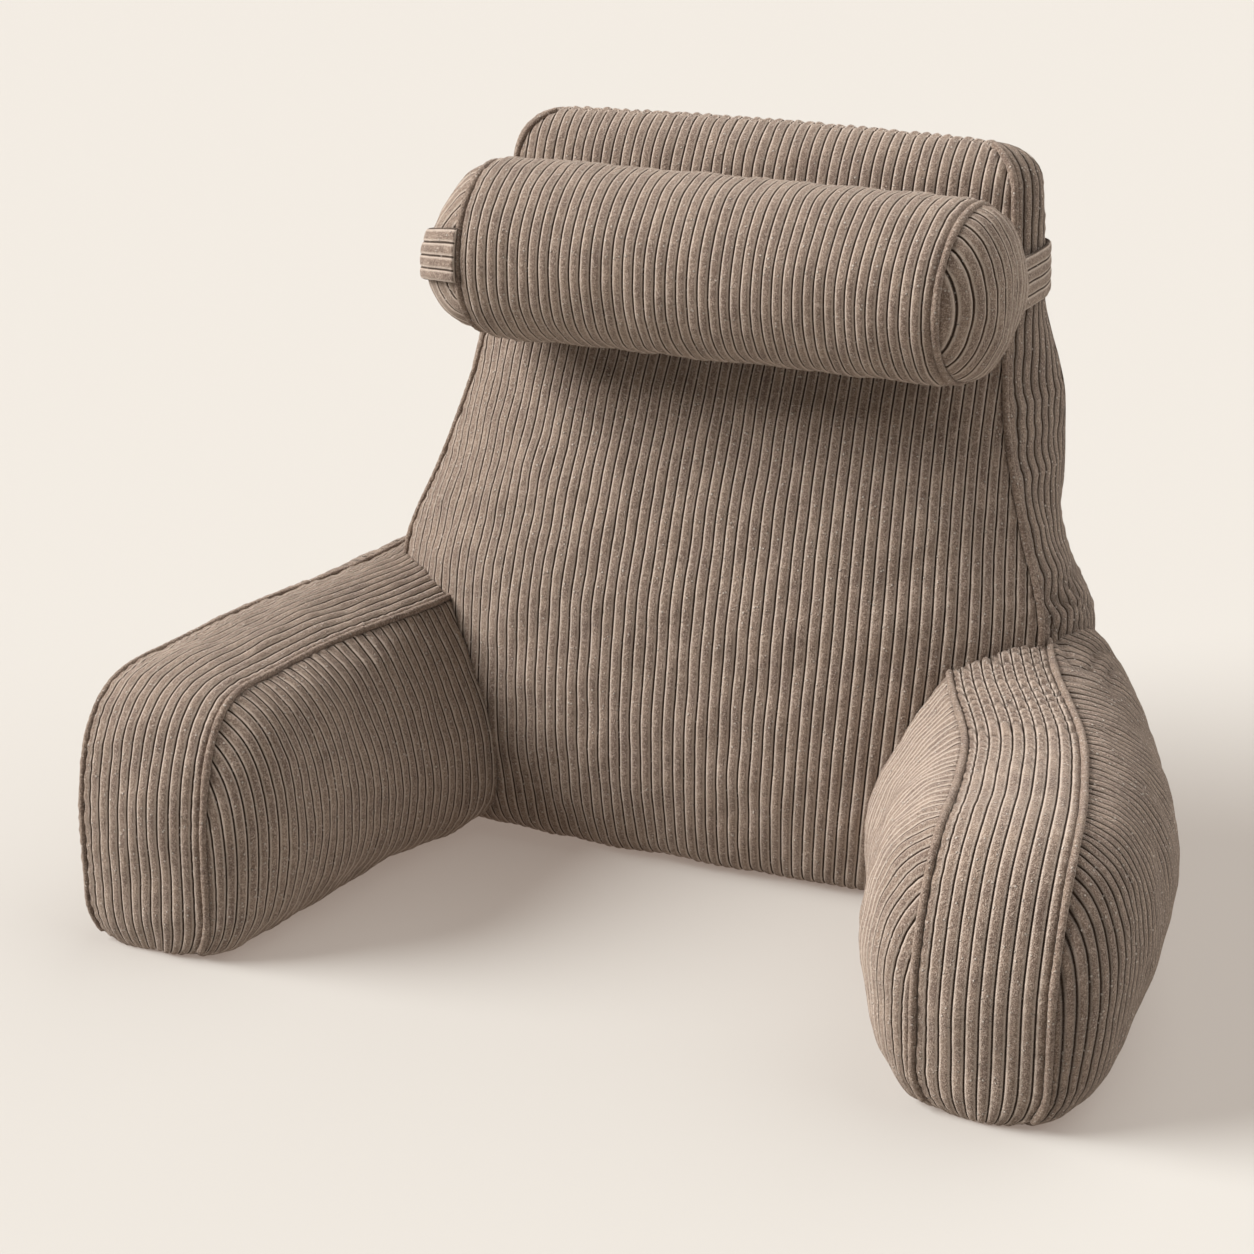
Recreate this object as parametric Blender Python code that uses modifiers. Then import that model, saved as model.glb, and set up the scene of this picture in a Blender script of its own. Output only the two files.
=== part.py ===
"""Backrest pillow in wide-wale corduroy: a filled backrest, two stuffed arms, a neck bolster and its strap.

+X is to the right of someone looking at the front, the front faces -Y and the floor is z = 0.
The shapes are worked out with y = 0 at the front of the arms, then set back by ORIGIN_BACK,
so that the origin is the middle of the floor area.
"""

import math

import bmesh
import bpy
from mathutils import Matrix, Vector

# Driving dimensions in metres
ORIGIN_BACK = 0.24575
PIECE_GAP = 0.0003
BASE_ROUND = 0.022
BASE_TUCK = 0.016

TOP_ROLL_START = 0.546
TOP_ROLL_RISE = 0.032
TOP_CORNER = 0.034
TOP_RIDGE_THICKNESS = 0.006
TOP_ARCH = 0.004
BACK_FLARE = 0.012
FRONT_CROWN_POWER = 3.5
BACK_CROWN_POWER = 2.5

ARM_REAR_Y = 0.452
ARM_LENGTH = 0.462
ARM_HEIGHT_REAR = 0.212
ARM_HEIGHT_FRONT = 0.204
ARM_REAR_TWIST = 0.011
ARM_REAR_TWIST_POWER = 1.5
ARM_CORNER_POWER = 9.0
ARM_FRONT_LEAN = 0.022
ARM_LEAN_POWER = 4
ARM_TUCK_POWER = 6
GUSSET_HALF_REAR = 0.043
GUSSET_HALF_FRONT = 0.047
GUSSET_CROWN = 0.007
ARM_REAR_ROUND = 0.055
ARM_REAR_DRAW_IN = 0.30
ARM_REAR_DRAW_IN_POWER = 2
ARM_FRONT_FULLNESS_POWER = 12
ARM_TOP_FULLNESS_POWER = 4
ARM_SHOULDER_POWER = 0.5
SOFT_TOP_POWER_LOSS = 2
SOFT_SHOULDER_POWER_GAIN = 0.4
ARM_UNDERCUT = 0.34
ARM_UNDERCUT_TOP = 0.36
ARM_UNDERCUT_POWER = 2.2

BOLSTER_CENTRE = (0.012, 0.3355, 0.493)
BOLSTER_RADIUS = 0.0705
BOLSTER_SEAM_RADIUS = 0.0655
BOLSTER_SEAM_LEFT = -0.1900
BOLSTER_SEAM_RIGHT = 0.1965
BOLSTER_SHOULDER = 0.014
CAP_DOME_LEFT = 0.055
CAP_DOME_RIGHT = 0.033
BOLSTER_TUBE_CELLS = 5
CAP_RING_SHARES = (0.18, 0.48, 0.74, 0.91, 0.985)

WELT_RADIUS = 0.0040
WELT_STAND_OFF = 0.0049
BACK_WELT_STAND_OFF = 0.0044
RING_STAND_OFF = 0.0040
BACK_WELT_FIRST_ROW = 10
ARM_INNER_WELT_FIRST = 13
ARM_OUTER_WELT_FIRST = 14
ARM_WELT_LAST_ROW = 1

STRAP_WIDTH = 0.040
STRAP_THICKNESS = 0.0025
STRAP_HEIGHT = 0.481
STRAP_CLEARANCE = 0.0022
STRAP_CAP_CLEARANCE = 0.0030
STRAP_OVER_WELT = 0.0088
STRAP_BEFORE_WELT = 0.0050
STRAP_PAST_WELT = 0.0040
STRAP_BACK_STEPS = 9
STRAP_BACK_REACH = 0.94
STRAP_LEFT_CAP_SHARES = tuple(-0.72 + 0.15 * k for k in range(10))
STRAP_RIGHT_CAP_SHARES = (0.82, 0.68)

# Where the strap passes a side panel: how deep from front to back, and how far its inner face
# stands aside of the panel and behind it
STRAP_SIDE_STOPS = (
    (0.00, STRAP_OVER_WELT, -STRAP_BEFORE_WELT),
    (0.30, STRAP_PAST_WELT, 0.0),
    (0.65, STRAP_CLEARANCE, 0.0),
    (0.92, STRAP_CLEARANCE, 0.0),
    (1.00, STRAP_CLEARANCE, STRAP_CLEARANCE),
)

# Height, half width at the front seam, y of the front seam, thickness there, and how far
# the front, the back and the side panels swell past their seams
BACKREST_LEVELS = (
    (0.000, 0.215, 0.290, 0.178, 0.010, 0.004, 0.008),
    (0.050, 0.243, 0.297, 0.171, 0.032, 0.012, 0.014),
    (0.120, 0.266, 0.313, 0.155, 0.052, 0.018, 0.016),
    (0.224, 0.277, 0.345, 0.126, 0.068, 0.021, 0.014),
    (0.300, 0.254, 0.369, 0.106, 0.064, 0.021, 0.010),
    (0.370, 0.233, 0.388, 0.090, 0.047, 0.019, 0.009),
    (0.435, 0.222, 0.408, 0.076, 0.026, 0.015, 0.008),
    (0.475, 0.218, 0.422, 0.066, 0.014, 0.013, 0.007),
    (0.515, 0.214, 0.436, 0.057, 0.014, 0.011, 0.007),
    (0.560, 0.209, 0.448, 0.048, 0.012, 0.008, 0.006),
    (0.620, 0.203, 0.463, 0.042, 0.008, 0.004, 0.005),
)

# y along the arm, x of its middle line, how far its inner and outer panels swell past the
# gusset's seams, and how softly the inner panel leaves its seam, from 0 to 1
ARM_ROWS = (
    (-0.020, 0.3265, 0.056, 0.054, 0.00),
    (0.050, 0.3245, 0.058, 0.057, 0.00),
    (0.120, 0.3150, 0.062, 0.068, 0.15),
    (0.200, 0.2970, 0.066, 0.077, 0.50),
    (0.300, 0.2560, 0.066, 0.083, 1.00),
    (0.380, 0.2340, 0.060, 0.080, 1.00),
    (0.460, 0.2270, 0.050, 0.060, 1.00),
)

# Cells of each lattice: across, along and up
BACKREST_CELLS = (18, 4, 25)
BACKREST_ROLL_CELLS = 5
BACKREST_BASE_CELLS = 3
ARM_CELLS = (4, 20, 11)
BOLSTER_SIDES = 30
RING_SIDES = 6

CORDUROY = (0.275, 0.225, 0.178)
CORDUROY_DEEP = (0.240, 0.195, 0.153)


def table_row(table, key):
    """The table's values at this key, on a smooth curve through its rows."""
    keys = [row[0] for row in table]
    key = min(max(key, keys[0]), keys[-1])
    last = len(keys) - 2
    i = min(max(sum(k <= key for k in keys) - 1, 0), last)
    before, after = max(i - 1, 0), min(i + 2, last + 1)
    span = keys[i + 1] - keys[i]
    t = (key - keys[i]) / span
    weights = (2 * t**3 - 3 * t**2 + 1, t**3 - 2 * t**2 + t, 3 * t**2 - 2 * t**3, t**3 - t**2)
    values = []
    for column in range(1, len(table[0])):
        start, end = table[i][column], table[i + 1][column]
        slope_in = (end - table[before][column]) / (keys[i + 1] - keys[before]) * span
        slope_out = (table[after][column] - start) / (keys[after] - keys[i]) * span
        curve = (start, slope_in, end, slope_out)
        values.append(sum(w * c for w, c in zip(weights, curve)))
    return values


def base_tuck(height):
    """How far a face draws in just above the floor."""
    if height >= BASE_ROUND:
        return 0.0
    return BASE_TUCK * (1 - math.sqrt(1 - (1 - height / BASE_ROUND) ** 2))


def new_object(name, data, collection, material):
    obj = bpy.data.objects.new(name, data)
    collection.objects.link(obj)
    if material:
        data.materials.append(material)
    return obj


def mesh_object(name, bm, collection, material):
    mesh = bpy.data.meshes.new(name)
    bm.to_mesh(mesh)
    bm.free()
    mesh.shade_smooth()
    return new_object(name, mesh, collection, material)


def cloth_material(name, colour):
    material = bpy.data.materials.new(name)
    material.use_nodes = True
    shader = material.node_tree.nodes["Principled BSDF"]
    shader.inputs["Base Color"].default_value = (*colour, 1.0)
    shader.inputs["Roughness"].default_value = 0.9
    shader.inputs["Metallic"].default_value = 0.0
    return material


def lattice_box(cells):
    """A box whose faces are cut into cells, and each vertex with its place from 0 to the number of cells."""
    bm = bmesh.new()
    bmesh.ops.create_cube(bm, size=2.0)
    for axis, count in enumerate(cells):
        along = [e for e in bm.edges if abs(e.verts[0].co[axis] - e.verts[1].co[axis]) > 1e-6]
        bmesh.ops.subdivide_edges(bm, edges=along, cuts=count - 1, use_grid_fill=True)
    places = {v: [(v.co[a] + 1) / 2 * cells[a] for a in range(3)] for v in bm.verts}
    return bm, places


# Backrest


def backrest_station(step):
    """Height and roll angle over the top, for one row of the lattice."""
    rows = BACKREST_CELLS[2]
    straight = rows - BACKREST_ROLL_CELLS
    if step <= BACKREST_BASE_CELLS:
        height = BASE_ROUND * (step / BACKREST_BASE_CELLS) ** 2
        return height, 0.0
    if step <= straight:
        along = (step - BACKREST_BASE_CELLS) / (straight - BACKREST_BASE_CELLS)
        return BASE_ROUND + (TOP_ROLL_START - BASE_ROUND) * along, 0.0
    angle = math.pi / 2 * (step - straight) / BACKREST_ROLL_CELLS
    return TOP_ROLL_START + TOP_ROLL_RISE * math.sin(angle), angle


def backrest_point(across, deep, height, roll):
    """A point of the backrest: across from -1 to 1, deep from 0 at the front to 1 at the back."""
    half, front, thick, crown, back_crown, side = table_row(BACKREST_LEVELS, height)
    tuck = base_tuck(height)
    flat = math.cos(roll)
    half -= TOP_CORNER * (1 - flat) + tuck
    middle = front + thick / 2
    thick = max(thick * flat, TOP_RIDGE_THICKNESS) - 2 * tuck
    front = middle - thick / 2
    half += BACK_FLARE * deep * flat
    x = across * (half + side * flat * 4 * deep * (1 - deep))
    front_swell = crown * flat * (1 - abs(across) ** FRONT_CROWN_POWER)
    back_swell = back_crown * flat * (1 - abs(across) ** BACK_CROWN_POWER)
    y = front + thick * deep - front_swell * (1 - deep) + back_swell * deep
    arch = TOP_ARCH * math.sin(roll) * (1 - across**2)
    return Vector((x, y, height + arch))


def backrest_mesh(grow):
    bm, places = lattice_box(BACKREST_CELLS)
    for vert, (i, j, k) in places.items():
        height, roll = backrest_station(k)
        vert.co = backrest_point(2 * i / BACKREST_CELLS[0] - 1, j / BACKREST_CELLS[1], height, roll)
    bmesh.ops.triangulate(bm, faces=bm.faces[:], quad_method="FIXED")
    bm.normal_update()
    if grow:
        for vert, offset in [(v, v.normal * grow) for v in bm.verts]:
            vert.co += offset
    return bm, places


# Arms


def arm_height(y):
    return ARM_HEIGHT_FRONT + (ARM_HEIGHT_REAR - ARM_HEIGHT_FRONT) * min(max(y / ARM_REAR_Y, 0), 1)


def arm_centre_x(y):
    return table_row(ARM_ROWS, y)[0]


def arm_sideways(y):
    """The level direction square to the arm, pointing away from the middle of the pillow."""
    step = 0.002
    slope = (arm_centre_x(y + step) - arm_centre_x(y - step)) / (2 * step)
    return Vector((1.0, -slope, 0.0)).normalized()


def arm_outline(q, r):
    """Length forward and height of a place on the arm's side view, a block with one rounded corner."""
    power = ARM_CORNER_POWER
    lump = (q**power + r**power) ** (1 / power)
    scale = max(q, r) / lump if lump else 0.0
    return q * scale, r * scale


def arm_point(across, q, r):
    """A point of the right arm: across from -1 at the inner panel to 1 at the outer, q forward, r up."""
    forward, up = arm_outline(q, r)
    y = ARM_REAR_Y - ARM_LENGTH * forward
    rise = arm_height(y) + ARM_REAR_TWIST * across * (1 - forward) ** ARM_REAR_TWIST_POWER
    height = rise * up
    y += ARM_FRONT_LEAN * up * forward**ARM_LEAN_POWER
    tuck = base_tuck(height)
    y += tuck * forward**ARM_TUCK_POWER
    gusset = GUSSET_HALF_REAR + (GUSSET_HALF_FRONT - GUSSET_HALF_REAR) * forward
    _, inner, outer, softness = table_row(ARM_ROWS, y)
    power = ARM_CORNER_POWER
    reach = (1 - up**power) ** (1 / power)
    top = (1 - forward**power) ** (1 / power)
    toward_front = min(forward / reach, 1.0) if reach else 1.0
    toward_top = min(up / top, 1.0) if top else 1.0
    soft = softness if across < 0 else 0.0
    shoulder = 1 - toward_top ** (ARM_TOP_FULLNESS_POWER - SOFT_TOP_POWER_LOSS * soft)
    shoulder **= ARM_SHOULDER_POWER + SOFT_SHOULDER_POWER_GAIN * soft
    full = math.sqrt(1 - toward_front**ARM_FRONT_FULLNESS_POWER) * shoulder
    under = 1 - ARM_UNDERCUT * max(1 - up / ARM_UNDERCUT_TOP, 0.0) ** ARM_UNDERCUT_POWER
    from_rear = max(1 - ARM_LENGTH * forward / ARM_REAR_ROUND, 0.0)
    rear = 1 - ARM_REAR_DRAW_IN * from_rear**ARM_REAR_DRAW_IN_POWER
    swell = (outer if across > 0 else inner) * full * under
    half = (gusset + swell) * rear - tuck
    outward = Vector((0.0, 0.0, 0.0))
    on_gusset = max(q, r) == 1.0
    if on_gusset:
        facing = Vector((0.0, -(forward ** (power - 1)) / ARM_LENGTH, up ** (power - 1) / rise))
        outward = facing.normalized() * GUSSET_CROWN * (1 - across**2)
    centre = Vector((arm_centre_x(y), y, height))
    return centre + arm_sideways(y) * (half * across) + outward


def mirrored(point, side):
    return Vector((point.x * side, point.y, point.z))


def arm_mesh(side):
    bm, places = lattice_box(ARM_CELLS)
    for vert, (i, j, k) in places.items():
        across = 2 * i / ARM_CELLS[0] - 1
        forward = 1 - j / ARM_CELLS[1]
        vert.co = mirrored(arm_point(across, forward, k / ARM_CELLS[2]), side)
    if side < 0:
        bmesh.ops.reverse_faces(bm, faces=bm.faces[:])
    bmesh.ops.triangulate(bm, faces=bm.faces[:], quad_method="FIXED")
    bm.normal_update()
    return bm, places


def seam_route(lattice, stations, stand_off):
    """The cord's line beside the lattice's vertices at these places, along their normals."""
    bm, places = lattice
    at = {tuple(round(value) for value in place): vert for vert, place in places.items()}
    route = [at[s].co + at[s].normal * stand_off for s in stations]
    bm.free()
    return route


def arm_welt_stations(edge, first, last_row):
    """Lattice places along one edge of the gusset: forward over the top, then down the front."""
    across, along, rows = ARM_CELLS
    i = 0 if edge < 0 else across
    over = [(i, j, rows) for j in range(first, -1, -1)]
    return over + [(i, 0, k) for k in range(rows - 1, last_row - 1, -1)]


def add_cord(name, route, collection, material):
    curve = bpy.data.curves.new(name, "CURVE")
    curve.dimensions = "3D"
    curve.bevel_depth = WELT_RADIUS
    curve.bevel_resolution = 1
    curve.use_fill_caps = True
    spline = curve.splines.new("POLY")
    spline.points.add(len(route) - 1)
    for point, place in zip(spline.points, route):
        point.co = (*place, 1.0)
    return new_object(name, curve, collection, material)


# Bolster


def bolster_radius(along):
    """Radius of the bolster at this place along X from its middle, out to the tips of its caps."""
    past_left, past_right = BOLSTER_SEAM_LEFT - along, along - BOLSTER_SEAM_RIGHT
    if past_left > 0:
        return BOLSTER_SEAM_RADIUS * math.sqrt(max(1 - (past_left / CAP_DOME_LEFT) ** 2, 0.0))
    if past_right > 0:
        return BOLSTER_SEAM_RADIUS * math.sqrt(max(1 - (past_right / CAP_DOME_RIGHT) ** 2, 0.0))
    from_seam = -max(past_left, past_right)
    drawn = max(1 - from_seam / BOLSTER_SHOULDER, 0.0)
    return BOLSTER_RADIUS - (BOLSTER_RADIUS - BOLSTER_SEAM_RADIUS) * drawn**2


def cap_height(dome, off_axis):
    """How far an end cap stands past its seam, this far from the bolster's axis."""
    return dome * math.sqrt(max(1 - (off_axis / BOLSTER_SEAM_RADIUS) ** 2, 0.0))


def bolster_mesh():
    """A turned shape about X, from a cylinder with its rings moved."""
    left, right = BOLSTER_SEAM_LEFT, BOLSTER_SEAM_RIGHT
    length = right - left
    stations = [left + length * k / BOLSTER_TUBE_CELLS for k in range(BOLSTER_TUBE_CELLS + 1)]
    for inset in (0.5 * BOLSTER_SHOULDER, BOLSTER_SHOULDER):
        stations += [left + inset, right - inset]
    for share in CAP_RING_SHARES:
        stations += [left - CAP_DOME_LEFT * share, right + CAP_DOME_RIGHT * share]
    stations.sort()
    bm = bmesh.new()
    bmesh.ops.create_cone(
        bm, cap_ends=True, segments=BOLSTER_SIDES, radius1=1.0, radius2=1.0, depth=2.0
    )
    upright = [e for e in bm.edges if abs(e.verts[0].co.z - e.verts[1].co.z) > 1e-6]
    bmesh.ops.subdivide_edges(bm, edges=upright, cuts=len(stations) - 2)
    for vert in bm.verts:
        along = stations[round((vert.co.z + 1) / 2 * (len(stations) - 1))]
        radius = bolster_radius(along)
        vert.co = (along, -radius * vert.co.x, radius * vert.co.y)
    bmesh.ops.recalc_face_normals(bm, faces=bm.faces[:])
    bmesh.ops.translate(bm, verts=bm.verts[:], vec=BOLSTER_CENTRE)
    return bm


def add_ring(name, side, collection, material):
    bpy.ops.mesh.primitive_torus_add(
        major_segments=BOLSTER_SIDES,
        minor_segments=RING_SIDES,
        major_radius=BOLSTER_SEAM_RADIUS + RING_STAND_OFF,
        minor_radius=WELT_RADIUS,
    )
    ring = bpy.context.active_object
    ring.name = name
    for other in list(ring.users_collection):
        other.objects.unlink(ring)
    collection.objects.link(ring)
    seam = BOLSTER_SEAM_LEFT if side < 0 else BOLSTER_SEAM_RIGHT
    end = Vector(BOLSTER_CENTRE) + Vector((seam + side * RING_STAND_OFF, 0.0, 0.0))
    turn = Matrix.Translation(end) @ Matrix.Rotation(math.pi / 2, 4, "Y")
    ring.data.transform(turn)
    ring.data.materials.append(material)
    ring.data.shade_smooth()
    return ring


# Strap


def strap_on_cap(height, share, side):
    """A place of the strap's inner face on an end cap, share of the seam's radius behind the axis."""
    cx, cy, cz = BOLSTER_CENTRE
    seam, dome = BOLSTER_SEAM_RIGHT, CAP_DOME_RIGHT
    if side < 0:
        seam, dome = BOLSTER_SEAM_LEFT, CAP_DOME_LEFT
    off_axis = math.hypot(share * BOLSTER_SEAM_RADIUS, height - cz)
    out = cap_height(dome, off_axis) + STRAP_CAP_CLEARANCE
    return cx + seam + side * out, cy + share * BOLSTER_SEAM_RADIUS


def strap_line(height):
    """The strap's inner face at one height: over the left cap, round the backrest, to the right cap."""
    line = [strap_on_cap(height, share, -1) for share in STRAP_LEFT_CAP_SHARES]
    sides = []
    for deep, aside, behind in STRAP_SIDE_STOPS:
        point = backrest_point(1.0, deep, height, 0.0)
        sides.append((point.x + aside, point.y + behind))
    line += [(-x, y) for x, y in sides]
    for step in range(-STRAP_BACK_STEPS, STRAP_BACK_STEPS + 1):
        point = backrest_point(STRAP_BACK_REACH * step / STRAP_BACK_STEPS, 1.0, height, 0.0)
        line.append((point.x, point.y + STRAP_CLEARANCE))
    line += sides[::-1]
    return line + [strap_on_cap(height, share, 1) for share in STRAP_RIGHT_CAP_SHARES]


def strap_object(collection, material):
    rows = [STRAP_HEIGHT + STRAP_WIDTH * share for share in (-0.5, 0.0, 0.5)]
    lines = [strap_line(height) for height in rows]
    bm = bmesh.new()
    bmesh.ops.create_grid(bm, x_segments=len(lines[0]) - 1, y_segments=len(rows) - 1, size=1.0)
    for vert in bm.verts:
        i = round((vert.co.x + 1) / 2 * (len(lines[0]) - 1))
        j = round((vert.co.y + 1) / 2 * (len(rows) - 1))
        vert.co = (*lines[j][i], rows[j])
    strap = mesh_object("strap", bm, collection, material)
    thicken = strap.modifiers.new("Cloth thickness", "SOLIDIFY")
    thicken.thickness = STRAP_THICKNESS
    thicken.offset = -1.0
    return strap


def cut_away(obj, cutter):
    boolean = obj.modifiers.new("Clear of the backrest", "BOOLEAN")
    boolean.operation = "DIFFERENCE"
    boolean.solver = "EXACT"
    boolean.object = cutter


def build():
    for obj in list(bpy.data.objects):
        bpy.data.objects.remove(obj, do_unlink=True)
    parts = bpy.data.collections.new("backrest_pillow")
    cutters = bpy.data.collections.new("cutters")
    for collection in (parts, cutters):
        bpy.context.scene.collection.children.link(collection)
    cloth = cloth_material("Corduroy wide wale", CORDUROY)
    cord_cloth = cloth_material("Corduroy covered cord", CORDUROY_DEEP)

    mesh_object("backrest", backrest_mesh(0.0)[0], parts, cloth)
    cutter = mesh_object("backrest_clearance", backrest_mesh(PIECE_GAP)[0], cutters, None)
    cutter.hide_render = True
    cutter.display_type = "WIRE"
    for side, hand in ((-1, "left"), (1, "right")):
        arm = mesh_object("arm_" + hand, arm_mesh(side)[0], parts, cloth)
        cut_away(arm, cutter)
        for edge, label, first in ((-1, "inner", ARM_INNER_WELT_FIRST), (1, "outer", ARM_OUTER_WELT_FIRST)):
            stations = arm_welt_stations(edge, first, ARM_WELT_LAST_ROW)
            route = seam_route(arm_mesh(side), stations, WELT_STAND_OFF)
            add_cord(f"welt_arm_{hand}_{label}", route, parts, cord_cloth)
        across, _, rows = BACKREST_CELLS
        stations = [(across if side > 0 else 0, 0, k) for k in range(BACK_WELT_FIRST_ROW, rows)]
        route = seam_route(backrest_mesh(0.0), stations, BACK_WELT_STAND_OFF)
        add_cord("welt_back_" + hand, route, parts, cord_cloth)
        add_ring("welt_bolster_" + hand, side, parts, cord_cloth)
    mesh_object("bolster", bolster_mesh(), parts, cloth)
    strap_object(parts, cord_cloth)

    for obj in bpy.data.objects:
        obj.data.transform(Matrix.Translation((0.0, -ORIGIN_BACK, 0.0)))


build()
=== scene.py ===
"""A corduroy backrest pillow: its stuffed case, arms, neck bolster, corded seams and strap, in cloth."""

import math

import bmesh
import bpy
import numpy as np
from mathutils import Matrix, Vector, kdtree


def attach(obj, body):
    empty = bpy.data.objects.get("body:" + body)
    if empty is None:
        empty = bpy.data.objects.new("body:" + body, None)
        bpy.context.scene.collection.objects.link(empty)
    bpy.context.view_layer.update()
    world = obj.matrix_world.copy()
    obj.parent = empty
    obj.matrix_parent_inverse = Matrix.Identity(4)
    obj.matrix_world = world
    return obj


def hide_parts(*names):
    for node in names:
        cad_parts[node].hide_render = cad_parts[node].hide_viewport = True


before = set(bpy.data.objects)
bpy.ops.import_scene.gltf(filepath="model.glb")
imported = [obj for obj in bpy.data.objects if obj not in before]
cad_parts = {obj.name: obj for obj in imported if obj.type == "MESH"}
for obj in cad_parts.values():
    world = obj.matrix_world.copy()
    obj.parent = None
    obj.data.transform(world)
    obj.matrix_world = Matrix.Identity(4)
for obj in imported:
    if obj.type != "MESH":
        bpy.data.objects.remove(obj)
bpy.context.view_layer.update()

# Sizes in metres. The shapes are worked out with y = 0 at the front of the arms, as they were cut.
ORIGIN_BACK = 0.24575
BASE_ROUND, BASE_TUCK = 0.022, 0.016
ARM_BASE_ROUND, ARM_BASE_TUCK = 0.040, 0.024
TOP_ROLL_START, TOP_ROLL_RISE, TOP_CORNER, TOP_ARCH = 0.546, 0.032, 0.029, 0.003
BACK_FLARE, FRONT_CROWN_POWER, BACK_CROWN_POWER = 0.012, 3.5, 2.5
ARM_REAR_Y, ARM_LENGTH = 0.452, 0.465
ARM_HEIGHT_REAR, ARM_HEIGHT_FRONT, ARM_REAR_TWIST = 0.212, 0.204, 0.011
ARM_CORNER_POWER, ARM_FRONT_LEAN = 9.0, 0.022
GUSSET_HALF_REAR, GUSSET_HALF_FRONT, GUSSET_CROWN = 0.035, 0.047, 0.007
GUSSET_NARROWED = 0.008
ARM_REAR_ROUND, ARM_REAR_DRAW_IN = 0.055, 0.30
ARM_OUTER_SOFTNESS, ARM_OUTER_FULLER = 0.35, 0.005
ARM_INNER_WIDER, ARM_OUTER_NARROWER = 0.003, 0.002
ARM_TOP_DIP, ARM_FRONT_LIFT, ARM_FRONT_LIFT_AT = 0.005, 0.007, 0.9
ARM_INNER_FULLNESS, ARM_OUTER_FULLNESS, ARM_FRONT_FULLNESS = 4.0, 5.0, 12
ARM_UNDERCUT, ARM_UNDERCUT_TOP_INNER, ARM_UNDERCUT_TOP_OUTER = 0.48, 0.58, 0.66
ARM_BELLY_HEIGHT, ARM_BELLY_REACH, ARM_FOOT_BACK = 0.55, 0.22, 1.3
BOLSTER_CENTRE = (0.012, 0.3355, 0.493)
BOLSTER_RADIUS, BOLSTER_SEAM_RADIUS, BOLSTER_SHOULDER = 0.0705, 0.0655, 0.014
BOLSTER_SEAM_LEFT, BOLSTER_SEAM_RIGHT, BOLSTER_SKEW = -0.1970, 0.1940, 0.009
CAP_DOME_LEFT, CAP_DOME_RIGHT, CAP_FULLNESS, CAP_FLATTER = 0.047, 0.036, 0.46, 0.42
CAP_DROOP_LEFT = 0.34
STRAP_WIDTH, STRAP_HEIGHT, STRAP_CLIMB = 0.040, 0.481, 0.019
STRAP_CLEAR, STRAP_BEHIND = 0.0042, 0.0022
# Thickness of the strap in a groove, how much thicker a wale is, and its edge's share of that
STRAP_GROOVE, STRAP_WALE_RISE, STRAP_EDGE = 0.0016, 0.0015, 0.55

# Height, half width at the front seam, y of the front seam, thickness there, and how far
# the front, the back and the side panels swell past their seams
BACKREST_LEVELS = (
    (0.000, 0.215, 0.290, 0.178, 0.010, 0.004, 0.008),
    (0.050, 0.243, 0.297, 0.171, 0.032, 0.012, 0.014),
    (0.120, 0.266, 0.313, 0.155, 0.052, 0.018, 0.016),
    (0.224, 0.275, 0.345, 0.126, 0.068, 0.021, 0.014),
    (0.300, 0.250, 0.369, 0.106, 0.064, 0.021, 0.007),
    (0.370, 0.229, 0.388, 0.090, 0.047, 0.019, 0.006),
    (0.435, 0.219, 0.408, 0.076, 0.026, 0.015, 0.007),
    (0.475, 0.218, 0.422, 0.066, 0.014, 0.013, 0.007),
    (0.515, 0.214, 0.436, 0.057, 0.014, 0.011, 0.007),
    (0.560, 0.209, 0.448, 0.048, 0.012, 0.008, 0.006),
    (0.620, 0.203, 0.463, 0.042, 0.008, 0.004, 0.005),
)
# Height, and how far the back's edge stands out past the front seam, in shares of BACK_FLARE
FLARE_LEVELS = (
    (0.000, 1.2),
    (0.200, 1.2),
    (0.245, -0.1),
    (0.280, 0.0),
    (0.310, 0.9),
    (0.345, 1.7),
    (0.380, 2.2),
    (0.405, 2.0),
    (0.430, 1.5),
    (0.465, 0.9),
    (0.620, 1.0),
)
# y along the arm, x of its middle line, how far its inner and outer panels swell past the
# gusset's seams, and how softly the inner panel leaves its seam
ARM_ROWS = (
    (-0.020, 0.3265, 0.056, 0.054, 0.00),
    (0.050, 0.3245, 0.058, 0.057, 0.00),
    (0.120, 0.3150, 0.062, 0.068, 0.15),
    (0.200, 0.2970, 0.066, 0.078, 0.50),
    (0.300, 0.2560, 0.066, 0.089, 1.00),
    (0.380, 0.2340, 0.060, 0.080, 1.00),
    (0.460, 0.2270, 0.050, 0.060, 1.00),
)

# Where the right half's cloth is bunched up: place, reach, pitch of the folds, depth, bow of a
# fold across a wale, and the direction from fold to fold
SIDE_FOLDS = (
    ((0.290, 0.390, 0.232), (0.05, 0.08, 0.024), 0.016, 0.0036, 0.10, (0.0, 0.45, 1.0)),
)
OUTER_PANEL_FOLDS = (
    ((0.290, 0.360, 0.195), (0.06, 0.08, 0.040), 0.015, 0.0046, 0.10, (0.25, 0.35, 1.0)),
)
GUSSET_FOLDS = (
    ((0.250, 0.270, 0.210), (0.10, 0.160, 0.08), 0.0105, 0.0042, 0.55, (0.0, 1.0, 0.1)),
)
INNER_PANEL_FOLDS = (
    ((0.205, 0.330, 0.160), (0.05, 0.035, 0.09), 0.016, 0.0014, 0.10, (0.0, 0.3, 1.0)),
)

# The cloth: one wale's width, and how far its grooves lie under the panel's shape
WALE = 0.0088
WALE_SINK = 0.0018
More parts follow.
